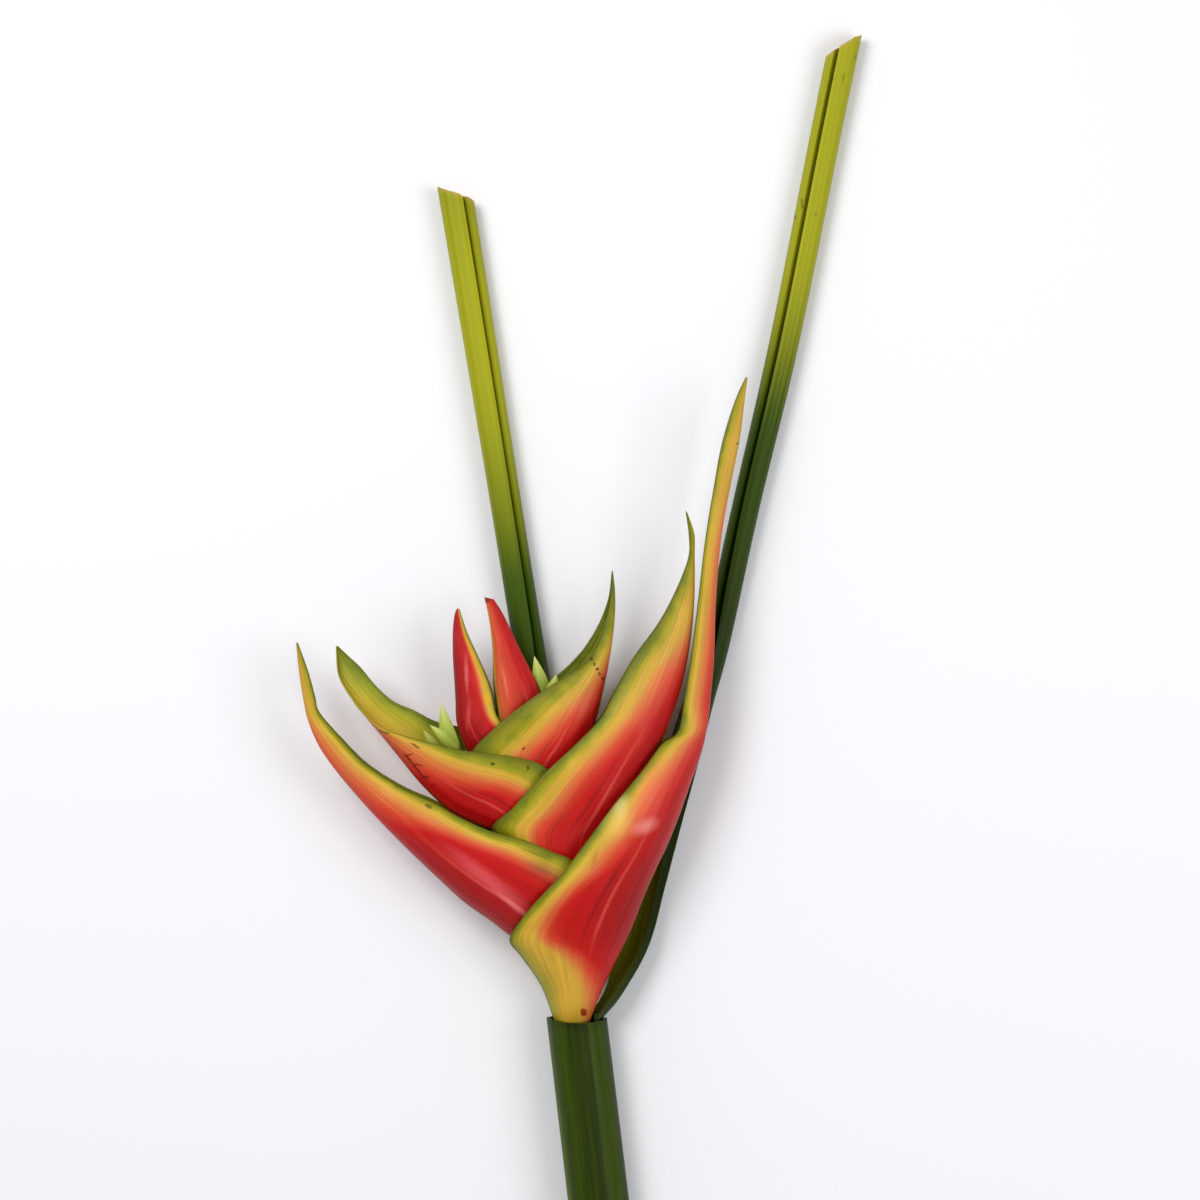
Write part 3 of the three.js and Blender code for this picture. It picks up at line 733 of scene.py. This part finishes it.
MARKS_5 = (
    ((-19.8, 105.6, 35), (0.9, 0.8, 8), 0, 0.85, "7a1408"),
    ((-20.8, 102.4, 35), (2.2, 0.5, 8), -60, 0.6, "6a1408"),
    ((5.7, 139.4, 30), (0.7, 0.8, 8), 0, 0.85, "4a1c0c"),
    ((6.8, 137.4, 30), (0.6, 0.8, 8), 0, 0.85, "4a1c0c"),
    ((7.9, 135.6, 30), (0.8, 0.7, 8), 0, 0.9, "4a1c0c"),
    ((8.8, 133.8, 30), (0.6, 0.8, 8), 0, 0.85, "4a1c0c"),
    ((9.9, 131.9, 30), (0.7, 0.7, 8), 0, 0.8, "4a1c0c"),
)
MARKS_6 = (
    # Painted highlight: a pink streak running down the bud, strongest in its upper part.
    ((-41.6, 134, 31), (1.3, 11, 6), 2, 0.42, "f59084"),
    ((-40.8, 118, 31), (1.6, 10, 6), -6, 0.25, "f0706a"),
    # Painted shade: darker red down the keel side, where the bud turns away from the light.
    ((-46, 124, 31), (3.6, 30, 8), 2, 0.6, "6a0a14"),
    ((-37, 112, 31), (4, 12, 8), -10, 0.4, "7a080c"),
    ((-33.8, 124.5, 31), (1.6, 3.2, 6), 10, 0.7, "dca326"),
    # Painted shade: near-black red at the foot, along the rim of the bract it tucks under.
    ((-29.5, 94.5, 30), (8, 3, 6), -30, 0.5, "3c0808"),
)
MARKS_7 = (
    # Painted highlight: a pink streak running down the bud.
    ((-27.4, 132, 29), (1.1, 12, 6), 13, 0.36, "f08474"),
    # Painted shade: darker red down the left rim, beside the other bud.
    ((-31, 124, 29), (2.4, 22, 8), 2, 0.5, "6a0a12"),
    ((-20, 118, 29), (5, 16, 8), 20, 0.35, "8a0c0c"),
    ((-34.8, 161.6, 24), (2.2, 1.6, 6), -10, 0.8, "4a1410"),
)
# Swellings and dents of the front cheeks: x, y, radius and height in millimetres.
SWELLS = {
    "bract_1_lowest_right": (
        (37.6, 110.8, 2.4, 1.1), (26, 77, 5.5, 0.9), (15, 80, 4.2, -0.8), (17.5, 86, 3, 0.5), (8, 62, 4, -0.5),
    ),
    "bract_2_lowest_left": ((-33, 57, 12, 0.5), (-14, 62, 6, -0.6), (-71, 85, 4, 0.5)),
    "bract_3_middle_right": ((26, 106, 9, 0.5), (6, 76, 6, -0.5)),
    "bract_4_middle_left": ((-60, 99, 4, -0.5), (-38, 90, 6, 0.4)),
    "bract_5_upper_right": ((-18, 104, 4, -0.4), (0, 118, 6, 0.3)),
}


def build_bract(name, ribs, bands, rise, side, thickness, marks=()):
    shape = Bract(ribs, rise, side)
    sway = sizes().waviness / MM
    seed = float(sum(map(ord, name)) % 97)

    def place(u, v):
        point = shape.point(u, v)
        s = share_from_rim(v)
        fade = ease(0, 0.12, u) * (1 - ease(0.75, 1, u)) * (1 - s ** 6)
        broad_dips = noise.noise(Vector((point.x / 13, point.y / 13, seed)))
        long_dips = noise.noise(Vector((u * 5, s * 9, seed + 9)))
        swell = (broad_dips + 0.7 * long_dips) * sway * fade
        if v < 0:
            for x, y, radius, height in SWELLS.get(name, ()):
                swell += height * exp(-((point.x - x) ** 2 + (point.y - y) ** 2) / radius ** 2)
        point.z += swell if v < 0 else -swell
        return point

    piece, spots = sheet(name, 84, sizes().rows, place)
    note(piece, "from_rim", [share_from_rim(v) for _, v in spots])
    note_vector(piece, "bands", [spline(bands, u) for u, _ in spots])
    if side < 0:
        edit(piece, lambda: bpy.ops.mesh.flip_normals())
    piece.data.materials.append(bract_skin(f"{name}_skin", looks(), marks))
    piece.data.materials.append(bract_skin(f"{name}_lining", looks(), lining=True))
    piece.data.materials.append(rim_edge(f"{name}_edge"))
    weights = [shape.wall(u, v, thickness) / thickness for u, v in spots]
    give_wall(piece, weights, thickness, lining=1, rim=2)
    smooth(piece)
    hand_over(piece, name)
    return piece


class HELICONIA_OT_open_bracts(bpy.types.Operator):
    """Model the five open boat-shaped bracts"""
    bl_idname = "heliconia.open_bracts"
    bl_label = "Open bracts"

    def execute(self, context):
        wall = sizes().bract_wall / MM
        build_bract("bract_1_lowest_right", BRACT_1, BANDS_1, 4, 1, wall, MARKS_1)
        build_bract("bract_2_lowest_left", BRACT_2, BANDS_2, 3, -1, wall, MARKS_2)
        build_bract("bract_3_middle_right", BRACT_3, BANDS_3, 3, 1, wall, MARKS_3)
        build_bract("bract_4_middle_left", BRACT_4, BANDS_4, 2, -1, wall, MARKS_4)
        build_bract("bract_5_upper_right", BRACT_5, BANDS_5, 2, 1, wall, MARKS_5)
        return {"FINISHED"}


class HELICONIA_OT_buds(bpy.types.Operator):
    """Model the two closed red bracts at the top"""
    bl_idname = "heliconia.buds"
    bl_label = "Top buds"

    def execute(self, context):
        wall = sizes().bud_wall / MM
        build_bract("bract_6_bud_left", BRACT_6, BANDS_6, 1, -1, wall, MARKS_6)
        build_bract("bract_7_bud_right", BRACT_7, BANDS_7, -2, 1, wall, MARKS_7)
        return {"FINISHED"}


# Leaf stalks: x, y, height of the underside, half width, half height, wall, and the degrees they cover,
# from and to.
END = -STEM_LENGTH
LEFT_STALK = (
    (stem_centre(END), END, 4.3, 7.7, 7.7, 1.4, -150, 150),
    (stem_centre(-90), -90, 4.3, 7.7, 7.7, 1.4, -150, 150),
    (stem_centre(-45), -45, 4.3, 7.7, 7.7, 1.4, -145, 135),
    (stem_centre(-22) - 0.3, -22, 4.1, 7.6, 7.4, 1.4, -120, 80),
    (stem_centre(-6) - 0.9, -6, 3.3, 7.4, 6.8, 1.7, -80, 42),
    (-1.6, 8, 2.4, 7, 6.2, 2.4, -68, 48),
    (-2.2, 22, 1.5, 6.8, 5.9, 3.4, -82, 80),
    (-3.2, 40, 0.9, 6.7, 6.4, 4.4, -98, 98),
    (-6, 68, 0.7, 6.6, 6.6, 5.2, -112, 110),
    (-11.4, 100, 0.6, 6.4, 6.5, 5.2, -150, 128),
    (-17.8, 136, 0.5, 6, 6.4, 5, -195, 142),
    (-28.4, 202, 0.4, 6, 6.2, 4.8, -203, 145),
    (-40.2, 275, 0.2, 6.4, 6, 4.8, -203, 145),
    (-47.2, 317.4, 0, 6.6, 6, 4.8, -203, 145),
)
RIGHT_STALK = (
    (stem_centre(END), END, 2.4, 9.6, 9.6, 1.4, -150, 125),
    (stem_centre(-100), -100, 2.4, 9.6, 9.6, 1.4, -145, 125),
    (stem_centre(-80), -80, 2.4, 9.6, 9.6, 1.4, -115, 125),
    (stem_centre(-60), -60, 2.4, 9.6, 9.6, 1.4, -75, 124),
    (stem_centre(-44), -44, 2.4, 9.5, 9.5, 1.4, -35, 122),
    (stem_centre(-28), -28, 2.5, 9.4, 9.4, 1.4, 5, 120),
    (stem_centre(-12), -12, 2.6, 9.2, 9.3, 1.4, 40, 118),
    (-0.7, 3.4, 2.6, 9.1, 9.3, 1.4, 44, 116),
    (3.3, 9.4, 1.9, 10.4, 10.2, 1.8, 38, 112),
    (8.2, 17, 1.2, 11.2, 10.5, 2, 24, 108),
    (17, 33, 0.9, 11.2, 9.6, 2.4, -25, 104),
    (24.4, 54, 0.7, 9.6, 8, 3.2, -80, 100),
    (32.4, 78, 0.6, 8, 7, 4.4, -100, 100),
    (39.9, 100, 0.5, 6.6, 6.6, 4.8, -112, 108),
    (46.7, 123, 0.5, 5.7, 6.2, 4.8, -128, 145),
    (53.3, 146, 0.4, 5.4, 6, 4.4, -140, 188),
    (64.8, 198, 0.4, 5.3, 5.8, 4.2, -144, 204),
    (79.3, 260, 0.3, 5.7, 5.6, 4.2, -144, 204),
    (95.5, 341, 0.1, 5.9, 5.6, 4.2, -144, 204),
    (102.4, 374.7, 0, 6, 5.6, 4.2, -144, 204),
)


def channel_point(stations, slant, u, v):
    """A point on a channel's section. v goes once round it: -1 to 0 along the outside and 0 to 1 back inside.

    At v = 1 it is back at its first point, so that the two long sides of the sheet weld.
    slant is how far the right side of the cut end stands past the middle.
    """
    x, y, under, wide, high, wall, start, stop = spline(stations, u)
    ahead = Vector(spline(stations, min(1, u + 0.004))[:2])
    behind = Vector(spline(stations, max(0, u - 0.004))[:2])
    along = (ahead - behind).normalized()
    side = Vector((along.y, -along.x, 0))
    outside = v < 0 or v > 0.999
    angle = radians(mix(start, stop, 1 - abs(v)))
    shrink = 0 if outside else wall
    reach_x, reach_z = max(wide - shrink, 0.8), max(high - shrink, 0.8)
    point = Vector((x, y, under + high - reach_z * cos(angle))) + side * (reach_x * sin(angle))
    cut = slant * ease(0.9, 1, u) * sin(angle) * reach_x / wide
    ragged = 0.7 * ease(0.985, 1, u) * noise.noise(point * 0.6)
    return point + Vector((along.x, along.y, 0)) * (cut + ragged)


def tube_from_sheet(piece):
    """Weld the sheet's two long sides, close both ends and turn its faces outwards."""
    edit(
        piece,
        lambda: bpy.ops.mesh.remove_doubles(threshold=0.00004),
        lambda: bpy.ops.mesh.fill_holes(sides=0),
        lambda: bpy.ops.mesh.normals_make_consistent(inside=False),
    )


def inner_light(y, v):
    """Painted light: how much lighter a channel's inner side is painted, against the shade inside it.
    It fades out where the channel closes.
    """
    return 0.5 * (1 - ease(60, 110, y)) * ease(0, 10, y) if v > 0.02 else 0.0


def build_stalk(name, stations, slant, skin, shade, freckles):
    piece, spots = sheet(name, 96, 260, lambda u, v: channel_point(stations, slant, u, v))
    heights = [spline(stations, u)[1] for u, _ in spots]
    top = stations[-1][1]
    # Painted light on the channels' inner sides, added to their tone.
    inside = [inner_light(y, v) for y, (_, v) in zip(heights, spots)]
    note(piece, "shade", [clamp(spline(shade, y / top)[0] + add) for y, add in zip(heights, inside)])
    note(piece, "freckle", [freckles(y) for y in heights])
    note(piece, "cut", [1.0 if u > 0.9985 or u < 0.0015 else 0.0 for u, _ in spots])
    tube_from_sheet(piece)
    piece.data.materials.append(skin)
    smooth(piece, 40)
    hand_over(piece, name)
    return piece


class HELICONIA_OT_leaf_stalks(bpy.types.Operator):
    """Model the two trimmed leaf stalks with their sheaths"""
    bl_idname = "heliconia.leaf_stalks"
    bl_label = "Leaf stalks"

    def execute(self, context):
        greens = (colour("1e2e02"), colour("3c5404"), colour("a0a01a"), colour("c8a040"))
        build_stalk(
            "leaf_stalk_left", LEFT_STALK, -3.8, stalk_skin("left_stalk_skin", *greens),
            ((0.08,), (0.08,), (0.1,), (0.14,), (0.3,), (0.6,), (0.8,), (0.84,), (0.76,)),
            lambda y: 0.5 * ease(290, 312, y),
        )
        greens = (colour("1c2a02"), colour("364c02"), colour("a0a01a"), colour("d0ac48"))
        build_stalk(
            "leaf_stalk_right", RIGHT_STALK, 5.6, stalk_skin("right_stalk_skin", *greens),
            ((0.06,), (0.06,), (0.08,), (0.12,), (0.26,), (0.4,), (0.76,), (0.84,), (0.84,)),
            lambda y: 0.9 * ease(285, 300, y) * (1 - ease(318, 330, y)) + 0.5 * ease(345, 368, y),
        )
        return {"FINISHED"}


# Outer sheath: the degrees it covers each way, how far its lapped edge stands off, the rim's step at the
# right and at the left, and how much narrower it is at the rim.
SHEATH_LAP = 196.0
SHEATH_SPIRAL = 1.9
SHEATH_STEP = 0.6
SHEATH_LEFT_STEP = 0.8
SHEATH_TAPER = 0.3


class HELICONIA_OT_outer_sheath(bpy.types.Operator):
    """Model the rolled outer leaf sheath round the stem"""
    bl_idname = "heliconia.outer_sheath"
    bl_label = "Outer sheath"

    def execute(self, context):
        radius, wall = sizes().sheath_radius / MM, sizes().sheath_wall / MM

        def place(u, v):
            angle = radians(SHEATH_LAP * v)
            across = sin(angle)
            rim = SHEATH_STEP * across ** 1.5 if across > 0 else -SHEATH_LEFT_STEP * across
            y = mix(-STEM_LENGTH, rim, u)
            reach = radius - SHEATH_TAPER * u - SHEATH_SPIRAL * v / 2
            return Vector((stem_centre(y) + reach * across, y, STEM_LEVEL - reach * cos(angle)))

        def shade(u, v):
            """Lighter and darker ribs, darker still at the free edges and at the rim."""
            ribs = 0.3 + 0.1 * sin(9 * v) + 0.06 * sin(31 * v)
            return ribs - 0.2 * ease(0.86, 1, abs(v)) - 0.12 * ease(0.97, 1, u)

        piece, spots = sheet("outer_sheath", 150, 120, place)
        note(piece, "shade", [shade(u, v) for u, v in spots])
        note(piece, "freckle", [0.25 * ease(0.9, 1, u) for u, _ in spots])
        note(piece, "cut", [1.0 if u < 0.002 else 0.0 for u, _ in spots])
        edit(piece, lambda: bpy.ops.mesh.normals_make_consistent(inside=False))
        piece.data.materials.append(stalk_skin(
            "sheath_skin", colour("1a2400"), colour("364800"), colour("6a7a08"), colour("b9b46a"),
        ))
        give_wall(piece, [mix(0.5, 1, ease(0, 0.1, 1 - abs(v))) for _, v in spots], wall)
        smooth(piece, 50)
        hand_over(piece, "outer_sheath")
        return {"FINISHED"}


AXIS = (
    (stem_centre(END), END, 5.7),
    (stem_centre(-70), -70, 5.7),
    (stem_centre(-24) - 0.4, -24, 4.9),
    (-2, -2, 3.7),
    (-4.9, 26, 3.4),
    (-5.3, 47.5, 3),
    (-16.9, 70.4, 2.4),
    (-19, 83, 1.9),
    (-26, 93.2, 1.4),
    (-25.2, 99.5, 1.2),
    (-25, 104, 0.8),
)


class HELICONIA_OT_flower_axis(bpy.types.Operator):
    """Model the flower stalk and the zigzag axis that carries the bracts"""
    bl_idname = "heliconia.flower_axis"
    bl_label = "Flower stalk"

    def execute(self, context):
        def place(u, v):
            x, y, r = spline(AXIS, u)
            ahead = Vector(spline(AXIS, min(1, u + 0.01))[:2])
            behind = Vector(spline(AXIS, max(0, u - 0.01))[:2])
            along = (ahead - behind).normalized()
            side = Vector((along.y, -along.x, 0))
            level = mix(NECK_LEVEL, STEM_LEVEL, min(1, -y / 30)) if y < 0 else head_level(y)
            return Vector((x, y, level + r * sin(pi * v))) + side * (r * cos(pi * v))

        piece, spots = sheet("flower_stalk_and_axis", 48, 150, place)
        note(piece, "shade", [0.75 for _ in spots])
        note(piece, "freckle", [0.0 for _ in spots])
        note(piece, "cut", [1.0 if u < 0.002 else 0.0 for u, _ in spots])
        tube_from_sheet(piece)
        piece.data.materials.append(stalk_skin(
            "axis_skin", colour("8d9440"), colour("b7b25c"), colour("d6cd86"), colour("d3cc92"),
        ))
        smooth(piece, 40)
        hand_over(piece, "flower_stalk_and_axis")
        return {"FINISHED"}


# Florets: foot, tip, half width, and how far one side bends.
FLORETS = {
    "floret_left_long": ((-45.6, 98, 25.6), (-51.9, 122, 26.4), 3.3, -0.5),
    "floret_left_middle": ((-45, 103.4, 30.2), (-56, 113.8, 30), 2.1, 0.5),
    "floret_left_short": ((-50.5, 98.5, 21.4), (-58.8, 111.6, 22.4), 2.3, 0.3),
    "floret_right_long": ((-10.6, 118.4, 21.5), (-16.6, 139.8, 21.8), 3.2, -0.4),
    "floret_right_short": ((-12, 119.5, 26.4), (-8.2, 132.9, 26), 3.0, 0.4),
}
FLORET_FLATNESS = 0.6


class HELICONIA_OT_florets(bpy.types.Operator):
    """Model the floret tips inside the bracts"""
    bl_idname = "heliconia.florets"
    bl_label = "Florets"

    def execute(self, context):
        skin = floret_skin(looks())
        profile = ((0.03,), (0.8,), (0.96,), (1.0,), (0.94,), (0.8,), (0.6,), (0.32,), (0.02,))
        for name, (foot, tip, radius, sway) in FLORETS.items():
            foot, tip = Vector(foot), Vector(tip)
            along = (tip - foot).normalized()
            side = along.cross(Vector((0, 0, 1))).normalized()
            up = side.cross(along)

            def place(u, v):
                angle = pi * v
                r = radius * spline(profile, u)[0] * (1 + 0.06 * cos(5 * angle))
                across = r * sin(angle) + sway * sin(pi * u)
                lift = FLORET_FLATNESS * r * cos(angle)
                return foot + along * ((tip - foot).length * u) + side * across + up * lift

            piece, spots = sheet(name, 36, 50, place)
            note(piece, "toward_tip", [u for u, _ in spots])
            tube_from_sheet(piece)
            piece.data.materials.append(skin)
            smooth(piece)
            hand_over(piece, name)
        return {"FINISHED"}


class HELICONIA_OT_stage(bpy.types.Operator):
    """Set the pale floor, the soft lights and the camera that looks straight down"""
    bl_idname = "heliconia.stage"
    bl_label = "Stage"

    def execute(self, context):
        studio = context.scene.heliconia_studio
        bpy.ops.object.select_all(action="DESELECT")
        bpy.ops.mesh.primitive_plane_add(size=6, location=(0, 0, 0))
        floor = context.object
        floor.name = "floor"
        paper = Recipe("floor_paper")
        paper.set(Base_Color=(0.84, 0.84, 0.87, 1))
        paper.shader.inputs["Roughness"].default_value = 0.9
        paper.shader.inputs["Specular IOR Level"].default_value = 0.1
        floor.data.materials.append(paper.material)

        world = bpy.data.worlds.new("studio")
        world.use_nodes = True
        world.node_tree.nodes["Background"].inputs["Color"].default_value = (1, 1, 1, 1)
        world.node_tree.nodes["Background"].inputs["Strength"].default_value = 0.46
        context.scene.world = world

        middle = HOME + Vector((8.4, 161.1, 24)) * MM
        for name, power, size, offset in (
            ("key_light", studio.key, 0.6, (-0.55, 0.5, 1.15)),
            ("fill_light", studio.fill, 0.7, (0.8, -0.1, 1.0)),
        ):
            bpy.ops.object.light_add(type="AREA", location=middle + Vector(offset))
            light = context.object
            light.name = name
            light.data.name = name
            light.data.energy = power
            light.data.size = size
            light.rotation_euler = (-Vector(offset)).to_track_quat("-Z", "Y").to_euler()

        away = studio.view_width * studio.lens / SENSOR_WIDTH
        bpy.ops.object.camera_add(location=middle + Vector((0, 0, away)), rotation=(0, 0, 0))
        camera = context.object
        camera.name = "camera"
        camera.data.lens = studio.lens
        camera.data.clip_end = 20
        context.scene.camera = camera
        context.scene.view_settings.view_transform = "Standard"
        return {"FINISHED"}


class HELICONIA_PT_panel(bpy.types.Panel):
    """The flower's pieces, sizes and colours"""
    bl_idname = "HELICONIA_PT_panel"
    bl_label = "Heliconia Flower"
    bl_space_type = "VIEW_3D"
    bl_region_type = "UI"
    bl_category = "Heliconia"

    def draw(self, context):
        layout = self.layout
        for operator in OPERATORS:
            layout.operator(operator.bl_idname)
        for group in (
            context.scene.heliconia_sizes,
            context.scene.heliconia_colours,
            context.scene.heliconia_studio,
        ):
            box = layout.box()
            for key in group.bl_rna.properties.keys():
                if key not in ("rna_type", "name"):
                    box.prop(group, key)


OPERATORS = (
    HELICONIA_OT_stage,
    HELICONIA_OT_open_bracts,
    HELICONIA_OT_buds,
    HELICONIA_OT_leaf_stalks,
    HELICONIA_OT_outer_sheath,
    HELICONIA_OT_flower_axis,
    HELICONIA_OT_florets,
)
GROUPS = (HeliconiaSizes, HeliconiaColours, HeliconiaStudio)


def register():
    for cls in (*GROUPS, *OPERATORS, HELICONIA_PT_panel):
        bpy.utils.register_class(cls)
    bpy.types.Scene.heliconia_sizes = PointerProperty(type=HeliconiaSizes)
    bpy.types.Scene.heliconia_colours = PointerProperty(type=HeliconiaColours)
    bpy.types.Scene.heliconia_studio = PointerProperty(type=HeliconiaStudio)


def unregister():
    del bpy.types.Scene.heliconia_studio
    del bpy.types.Scene.heliconia_colours
    del bpy.types.Scene.heliconia_sizes
    for cls in reversed((*GROUPS, *OPERATORS, HELICONIA_PT_panel)):
        bpy.utils.unregister_class(cls)


def main():
    register()
    bpy.ops.heliconia.stage()
    bpy.ops.heliconia.open_bracts()
    bpy.ops.heliconia.buds()
    bpy.ops.heliconia.leaf_stalks()
    bpy.ops.heliconia.outer_sheath()
    bpy.ops.heliconia.flower_axis()
    bpy.ops.heliconia.florets()


if __name__ == "__main__":
    main()
